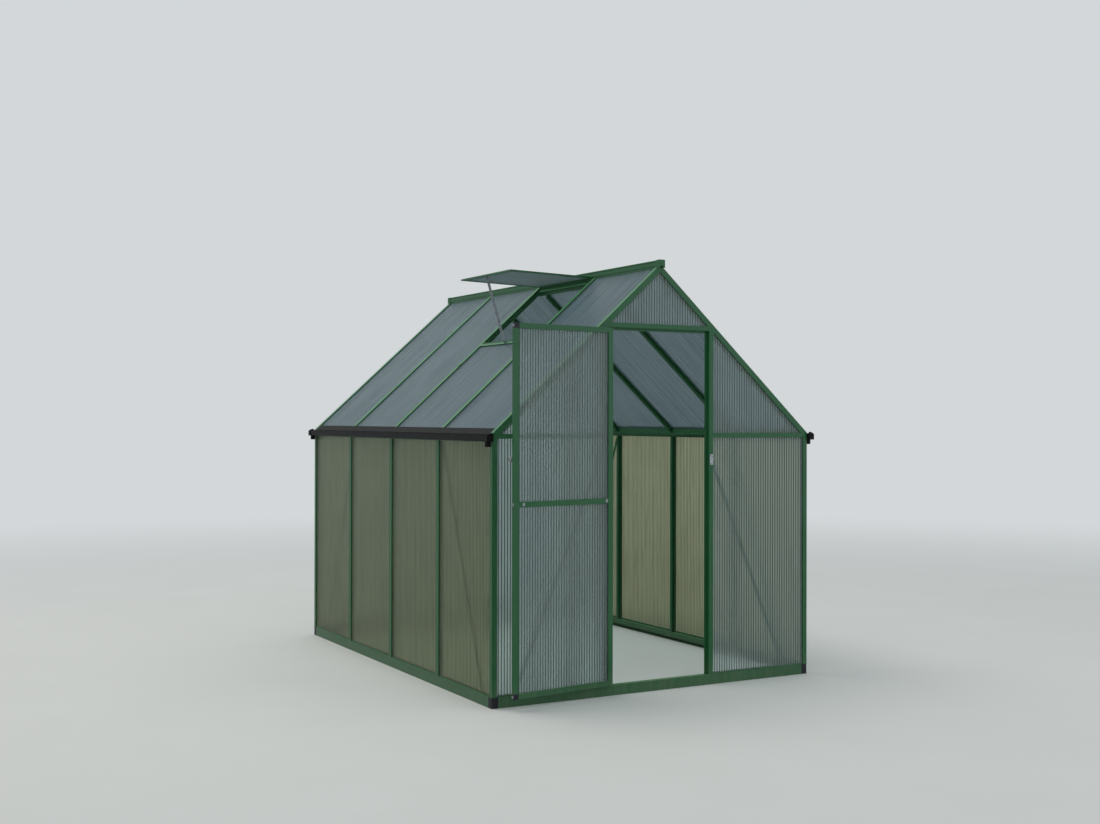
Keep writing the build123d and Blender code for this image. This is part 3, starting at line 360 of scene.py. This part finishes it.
def makeGalvanised(name, spangleMm, dark, light):
    material, tree = newMaterial(name)
    place = addNode(tree, "ShaderNodeTexCoord")
    spangle = addNode(tree, "ShaderNodeTexVoronoi", {"Scale": 1000 / spangleMm, "feature": "F1"},
                      {"Vector": place.outputs["Object"]})
    flat = addNode(tree, "ShaderNodeSeparateColor", None, {"Color": spangle.outputs["Color"]})
    tone = addNode(tree, "ShaderNodeMix",
                   {"data_type": "RGBA", 6: linearColour(dark), 7: linearColour(light)},
                   {0: flat.outputs["Red"]})
    smoothest, roughest = zincCoat["roughness"]
    gloss = addNode(tree, "ShaderNodeMapRange", {"To Min": smoothest, "To Max": roughest},
                    {"Value": flat.outputs["Green"]})
    bump = addNode(tree, "ShaderNodeBump",
                   {"Strength": zincCoat["bumpStrength"], "Distance": zincCoat["bumpDepth"]},
                   {"Height": flat.outputs["Blue"]})
    zinc = addNode(tree, "ShaderNodeBsdfPrincipled", {"Metallic": 1.0},
                   {"Base Color": tone.outputs[2], "Roughness": gloss.outputs["Result"],
                    "Normal": bump.outputs["Normal"]})
    addNode(tree, "ShaderNodeOutputMaterial", None, {"Surface": zinc.outputs["BSDF"]})
    return material


# The door's leaf as it stands at rest: lengths run from the hinge along the leaf
leaf = {
    "hinge": (-0.292, -0.014, 0),
    "openAngle": math.radians(-172.1),
    "width": 0.584,
    "innerFace": 0.022,             # hinge line to the leaf's inner face
    "middle": 0.014,                # hinge line to the middle of its thickness
    "railScrews": (0.040, 0.530),
    "middleRail": 0.9435,
    "halfRail": 0.0125,
}
leafAcross = Vector((math.cos(leaf["openAngle"]), math.sin(leaf["openAngle"]), 0))
leafIn = Vector((-math.sin(leaf["openAngle"]), math.cos(leaf["openAngle"]), 0))

frameGreen = makePowderCoat("powderCoatedAluminium")
gutterCoat = makeMoulded("charcoalGutter", "#0C0E0E", 0.45, "#222425", 0.08)
blackNylon = makeMoulded("glassFilledNylon", "#1C1D25", 0.5, "#45464C", 0.25)
greyKnob = makeMoulded("greyAbs", "#7D8284", 0.4, "#A3A7A8", 0.5)
galvanised = makeGalvanised("galvanisedSteel", 8, "#7E8487", "#A2A7AA")
zincScrew = makeGalvanised("zincPlatedSteel", 3, "#7E8385", "#A9AEB0")
webs = makeWebMaterial("polycarbonateWebs")

# webWidth is the share of a flute that the web and its shadow take; what isn't clear scatters light
# painted light: the walls' olive tint and webs stand in for green light thrown up from grass, and the roof's
# darker blue-grey tint and webs stand in for sky reflection and shade seen through it; the gables' pale tint is
# the sheet's own
paneTones = {
    "gable": {"tintAndReflection": "#DDEAE8", "webAndShadowTint": "#28322F", "webWidth": 0.24, "clearShare": 0.9, "unevenness": 0.08},
    "wall": {"tintAndReflection": "#B4B797", "webAndShadowTint": "#5A6550", "webWidth": 0.2, "clearShare": 0.95, "unevenness": 0.24},
    "roof": {"tintAndReflection": "#9FB2B9", "webAndShadowTint": "#52656F", "webWidth": 0.22, "clearShare": 0.84, "unevenness": 0.45},
}
wallPane = makeTwinWall("twinWallPolycarbonateWalls", (0.0, 1.0, 0.0), paneTones["wall"])
roofPane = makeTwinWall("twinWallPolycarbonateRoof", (0.0, 1.0, 0.0), paneTones["roof"])
gablePane = makeTwinWall("twinWallPolycarbonateGables", (1.0, 0.0, 0.0), paneTones["gable"])
doorPane = makeTwinWall("twinWallPolycarbonateDoor", leafAcross, paneTones["gable"])
print("materials made")

# Finishes of the carried-over nodes; every other node is powder-coated
nodeFinish = {
    "gutter_left": gutterCoat, "gutter_right": gutterCoat,
    "gutter_ends": gutterCoat, "gutter_spouts": gutterCoat,
    "base_corners": blackNylon, "door_corner_blocks": blackNylon,
    "latch_plate": galvanised, "vent_stay": galvanised, "door_knob": greyKnob,
    "wall_sheets_left": wallPane, "wall_sheets_right": wallPane,
    "roof_sheets_left": roofPane, "roof_sheets_right": roofPane, "vent_sheet": roofPane,
    "gable_sheets_front": gablePane, "gable_sheets_back": gablePane,
    "door_sheets": doorPane,
}
for nodeName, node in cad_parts.items():
    node.data.materials.clear()
    node.data.materials.append(nodeFinish.get(nodeName, frameGreen))

# The webs between the two walls of each sheet, trimmed by the sheet itself
webSize = {
    "thickness": 0.0007,
    "depth": 0.0034,
    "spare": 0.03,              # length past the sheet before it is trimmed
}


def copyOfSheet(nodeName):
    deselectAll()
    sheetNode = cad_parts[nodeName]
    trim = sheetNode.copy()
    trim.data = sheetNode.data.copy()
    trim.parent = None
    for key in [key for key in trim.keys() if key.startswith("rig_")]:
        del trim[key]
    bpy.context.scene.collection.objects.link(trim)
    pick(trim)
    bpy.ops.object.mode_set(mode="EDIT")
    bpy.ops.mesh.select_all(action="SELECT")
    bpy.ops.mesh.remove_doubles(threshold=0.00001)
    bpy.ops.object.mode_set(mode="OBJECT")
    return trim


def makeWebs(nodeName, body, across, upDirection):
    # webs stand at whole flutes along across, run in upDirection and lie midway in the sheet's thickness
    normal = across.cross(upDirection)
    low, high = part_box(nodeName)
    centre = (low + high) / 2
    corners = [Vector((x, y, z)) for x in (low.x, high.x) for y in (low.y, high.y) for z in (low.z, high.z)]
    spans = [(corner - centre).dot(across) for corner in corners]
    heights = [(corner - centre).dot(upDirection) for corner in corners]
    count = int((max(spans) - min(spans)) / house["flutePitch"]) + 2
    firstWeb = math.floor((centre.dot(across) + min(spans)) / house["flutePitch"]) * house["flutePitch"]
    trim = copyOfSheet(nodeName)
    depths = sorted(vertex.co.dot(normal) for vertex in trim.data.vertices)
    midway = (depths[0] + depths[-1]) / 2
    place = centre + across * (firstWeb - centre.dot(across)) + normal * (midway - centre.dot(normal))
    deselectAll()
    bpy.ops.mesh.primitive_cube_add(size=1, location=(0, 0, 0))
    web = bpy.context.object
    web.scale = (webSize["thickness"], webSize["depth"], max(heights) - min(heights) + webSize["spare"])
    bpy.ops.object.transform_apply(scale=True)
    web.matrix_world = Matrix.Translation(place) @ Matrix((across, normal, upDirection)).transposed().to_4x4()
    bpy.ops.object.transform_apply(location=True, rotation=True)
    row = web.modifiers.new("row", "ARRAY")
    row.count = count
    row.use_relative_offset = False
    row.use_constant_offset = True
    row.constant_offset_displace = across * house["flutePitch"]
    bpy.ops.object.modifier_apply(modifier=row.name)
    cut = web.modifiers.new("cut", "BOOLEAN")
    cut.operation = "INTERSECT"
    cut.solver = "EXACT"
    cut.object = trim
    bpy.ops.object.modifier_apply(modifier=cut.name)
    bpy.data.objects.remove(trim)
    return settlePiece(web, nodeName + "_webs", webs, body)


ex, ey, ez = Vector((1, 0, 0)), Vector((0, 1, 0)), Vector((0, 0, 1))
pitch = house["pitch"]
ventSlope = math.radians(1.6)
leftUp = Vector((math.cos(pitch), 0, math.sin(pitch)))
rightUp = Vector((-math.cos(pitch), 0, math.sin(pitch)))
ventUp = Vector((-math.cos(ventSlope), 0, math.sin(ventSlope)))
sheetPlaces = {
    "wall_sheets_left": ("building", ey, ez), "wall_sheets_right": ("building", ey, ez),
    "roof_sheets_left": ("building", ey, leftUp), "roof_sheets_right": ("building", ey, rightUp),
    "gable_sheets_front": ("building", ex, ez), "gable_sheets_back": ("building", ex, ez),
    "vent_sheet": ("building", ey, ventUp), "door_sheets": ("door", leafAcross, ez),
}
for nodeName, (body, across, upDirection) in sheetPlaces.items():
    made = makeWebs(nodeName, body, across, upDirection)
    print("webs of", nodeName, len(made.data.polygons), "faces")

# Button-head screws and hexagon bolts on washers
fixings = {
    "screw": {"sides": 16, "radius": 0.0038, "height": 0.0022, "soften": 0.0011, "rim": 0.0011,
              "recess": 0.001},
    "smallScrew": {"sides": 16, "radius": 0.003, "height": 0.0016, "soften": 0.0007, "rim": 0.0009,
                   "recess": 0.0008},
    "bolt": {"sides": 6, "radius": 0.0058, "height": 0.004, "soften": 0.0008, "rim": 0.0016,
             "recess": 0.0006},
    "washer": {"sides": 24, "radius": 0.0075, "height": 0.0012, "soften": 0.0004, "rim": 0.0028,
               "recess": 0.0002},
}


def turnedHead(kind):
    # the head stands on z = 0: rim softened, then a drive recess sunk in its face
    size = fixings[kind]
    deselectAll()
    bpy.ops.mesh.primitive_cylinder_add(vertices=size["sides"], radius=size["radius"], depth=size["height"],
                                        location=(0, 0, size["height"] / 2))
    head = bpy.context.object
    bpy.ops.object.transform_apply(location=True)
    selectFaces(head, lambda face: face.normal.z > 0.9)
    bpy.ops.mesh.bevel(offset=size["soften"], segments=2, affect="EDGES")
    selectFaces(head, lambda face: face.normal.z > 0.99 and face.center.z > size["height"] * 0.98)
    bpy.ops.mesh.inset(thickness=size["rim"])
    bpy.ops.mesh.extrude_region_move(TRANSFORM_OT_translate={"value": (0, 0, -size["recess"])})
    bpy.ops.object.mode_set(mode="OBJECT")
    return head


def fixAt(name, kinds, spots, material, body):
    # spots hold a place and the direction in which the head looks; kinds are stacked on each spot
    made = []
    lift = 0
    for kind in kinds:
        source = turnedHead(kind)
        for place, direction in spots:
            head = source.copy()
            head.data = source.data.copy()
            bpy.context.scene.collection.objects.link(head)
            facing = Vector(direction).normalized()
            turned = facing.to_track_quat("Z", "Y").to_matrix().to_4x4()
            head.matrix_world = Matrix.Translation(Vector(place) + facing * lift) @ turned
            made.append(head)
        lift += fixings[kind]["height"]
        bpy.data.objects.remove(source)
    deselectAll()
    for head in made:
        head.select_set(True)
    bpy.context.view_layer.objects.active = made[0]
    bpy.ops.object.transform_apply(location=True, rotation=True, scale=True)
    bpy.ops.object.join()
    return settlePiece(made[0], name, material, body)


latchScrewRise = 0.0195         # from the plate's middle, up and down
latchLow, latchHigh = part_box("latch_plate")
latchX, latchY = (latchLow.x + latchHigh.x) / 2, latchLow.y
latchZ = (latchLow.z + latchHigh.z) / 2

# Screws of the door: two through the middle rail, three through the free stile's edge into the rails
hinge = Vector(leaf["hinge"])
railLow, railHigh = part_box("door_rails")
railHeights = (railLow.z + leaf["halfRail"], leaf["middleRail"], railHigh.z - leaf["halfRail"])
leafSpots = [(hinge + leafAcross * length + leafIn * leaf["innerFace"] + ez * leaf["middleRail"], leafIn)
             for length in leaf["railScrews"]]
leafSpots += [(hinge + leafAcross * leaf["width"] + leafIn * leaf["middle"] + ez * height, leafAcross)
              for height in railHeights]
fixAt("door_screws", ["washer", "screw"], leafSpots, zincScrew, "door")

latchSpots = [((latchX, latchY, latchZ + rise), (0, -1, 0)) for rise in (latchScrewRise, -latchScrewRise)]
fixAt("latch_screws", ["smallScrew"], latchSpots, zincScrew, "building")

# Bolts of the diagonal braces at their upper and lower ends, the same in all four corner bays
braces = {
    "sideX": 0.8905,
    "sideEnds": ((0.5947, 1.190), (0.1537, 0.062)),     # y and z
    "gableY": 0.0264,
    "gableEnds": ((0.3118, 1.180), (0.7859, 0.062)),    # x and z
}
braceSpots = []
middleY = (house["frontY"] + house["backY"]) / 2
for side in (-1, 1):
    for end in (-1, 1):
        for y, z in braces["sideEnds"]:
            braceSpots.append(((side * braces["sideX"], middleY + end * (middleY - y), z), (-side, 0, 0)))
        for x, z in braces["gableEnds"]:
            braceSpots.append(((side * x, middleY + end * (middleY - braces["gableY"]), z), (0, -end, 0)))
fixAt("brace_bolts", ["washer", "bolt"], braceSpots, zincScrew, "building")
print("fixings placed")

# Clip over the middle bar of the left slope
clip = {"x": -0.517, "length": 0.018, "width": 0.0352, "thickness": 0.0024, "soften": 0.0007}
deselectAll()
bpy.ops.mesh.primitive_cube_add(size=1, location=(0, 0, 0))
clipPiece = bpy.context.object
clipPiece.scale = (clip["length"], clip["width"], clip["thickness"])
bpy.ops.object.transform_apply(scale=True)
selectFaces(clipPiece, lambda face: face.normal.z > 0.9)
bpy.ops.mesh.bevel(offset=clip["soften"], segments=2, affect="EDGES")
bpy.ops.object.mode_set(mode="OBJECT")
outward = Vector((-math.sin(pitch), 0, math.cos(pitch)))
clipPlace = Vector((clip["x"], middleY, roofHeight(clip["x"]))) + outward * clip["thickness"] / 2
clipPiece.matrix_world = Matrix.Translation(clipPlace) @ Matrix((leftUp, ey, outward)).transposed().to_4x4()
settlePiece(clipPiece, "roof_bar_clip", frameGreen, "building")

# Camera at the photo's place
viewPoint = {
    "place": (-3.7221, -5.5997, 1.3385),
    "turn": (math.radians(90.27), math.radians(-0.12), math.radians(-29.01)),
    "lens": 44.4,
    "sensor": 36,
}
cameraData = bpy.data.cameras.new("photoCamera")
cameraData.lens = viewPoint["lens"]
cameraData.sensor_width = viewPoint["sensor"]
camera = bpy.data.objects.new("photoCamera", cameraData)
camera.location = viewPoint["place"]
camera.rotation_euler = viewPoint["turn"]
bpy.context.scene.collection.objects.link(camera)
bpy.context.scene.camera = camera

# Pale floor and soft studio light: the key lamp nearly overhead, a weak fill from the front right
studio = {
    "middle": (0, 1.2, 0),
    "floorColour": "#C9CBC8",
    "floorMottle": "#C3C5C1",
    "mottlesPerMetre": 1.5,
    "floorRoughness": 0.85,
    "floorSize": 60,
    "fadeFrom": 3.5,            # metres from the origin where the floor starts to pass into the backdrop
    "fadeTo": 13.0,
    "backdrop": "#D3D7D9",
    "skyColour": "#EEF3F8",
    "skyStrength": 0.78,
    "lamps": [                  # name, place, size, watts, colour
        ("keyLamp", (-2.5, 2.6, 9.0), 4.5, 330, "#FFF9F0"),
        ("fillLamp", (5.5, -6.0, 3.5), 5.0, 90, "#F1F6FF"),
    ],
    "aim": (0.0, 1.2, 0.9),
}


def seenRays(tree):
    # 1 where the camera looks at the backdrop, directly, through a pane or in a reflection
    rays = addNode(tree, "ShaderNodeLightPath")
    straight = addNode(tree, "ShaderNodeMath", {"operation": "MAXIMUM"},
                       {0: rays.outputs["Is Camera Ray"], 1: rays.outputs["Is Transmission Ray"]})
    return addNode(tree, "ShaderNodeMath", {"operation": "MAXIMUM"},
                   {0: straight.outputs[0], 1: rays.outputs["Is Glossy Ray"]})


deselectAll()
bpy.ops.mesh.primitive_plane_add(size=studio["floorSize"], location=studio["middle"])
floor = bpy.context.object
floor.name = "floor"
bpy.ops.object.transform_apply(location=True)
floorMaterial, tree = newMaterial("paleFloor")
place = addNode(tree, "ShaderNodeTexCoord")
mottle = addNode(tree, "ShaderNodeTexNoise", {"Scale": studio["mottlesPerMetre"], "Detail": 3.0},
                 {"Vector": place.outputs["Object"]})
floorTone = addNode(tree, "ShaderNodeMix",
                    {"data_type": "RGBA", 6: linearColour(studio["floorColour"]),
                     7: linearColour(studio["floorMottle"])},
                    {0: mottle.outputs["Fac"]})
matt = addNode(tree, "ShaderNodeBsdfPrincipled", {"Roughness": studio["floorRoughness"]},
               {"Base Color": floorTone.outputs[2]})
distance = addNode(tree, "ShaderNodeVectorMath", {"operation": "LENGTH"}, {0: place.outputs["Object"]})
fade = addNode(tree, "ShaderNodeMapRange",
               {"interpolation_type": "SMOOTHSTEP", "From Min": studio["fadeFrom"],
                "From Max": studio["fadeTo"]},
               {"Value": distance.outputs["Value"]})
fadeSeen = addNode(tree, "ShaderNodeMath", {"operation": "MULTIPLY"},
                   {0: fade.outputs["Result"], 1: seenRays(tree).outputs[0]})
farFloor = addNode(tree, "ShaderNodeEmission", {"Color": linearColour(studio["backdrop"]), "Strength": 1.0})
floorSurface = addNode(tree, "ShaderNodeMixShader", None,
                       {0: fadeSeen.outputs[0], 1: matt.outputs["BSDF"], 2: farFloor.outputs["Emission"]})
addNode(tree, "ShaderNodeOutputMaterial", None, {"Surface": floorSurface.outputs["Shader"]})
floor.data.materials.append(floorMaterial)

for lampName, place, size, power, colour in studio["lamps"]:
    lampData = bpy.data.lights.new(lampName, "AREA")
    lampData.size = size
    lampData.energy = power
    lampData.color = linearColour(colour)[:3]
    lamp = bpy.data.objects.new(lampName, lampData)
    lamp.location = place
    lamp.rotation_euler = (Vector(studio["aim"]) - Vector(place)).to_track_quat("-Z", "Y").to_euler()
    bpy.context.scene.collection.objects.link(lamp)

world = bpy.data.worlds.new("studioWorld")
bpy.context.scene.world = world
world.use_nodes = True
tree = world.node_tree
tree.nodes.clear()
light = addNode(tree, "ShaderNodeBackground",
                {"Color": linearColour(studio["skyColour"]), "Strength": studio["skyStrength"]})
shown = addNode(tree, "ShaderNodeBackground", {"Color": linearColour(studio["backdrop"]), "Strength": 1.0})
mixed = addNode(tree, "ShaderNodeMixShader", None,
                {0: seenRays(tree).outputs[0], 1: light.outputs[0], 2: shown.outputs[0]})
addNode(tree, "ShaderNodeOutputWorld", None, {"Surface": mixed.outputs[0]})

# Enough bounces to see through four sheets with their webs
bounces = {"transparent": 32, "transmission": 24, "all": 24}
bpy.context.scene.view_settings.view_transform = "Standard"
bpy.context.scene.cycles.transparent_max_bounces = bounces["transparent"]
bpy.context.scene.cycles.transmission_bounces = bounces["transmission"]
bpy.context.scene.cycles.max_bounces = bounces["all"]
print("studio ready")
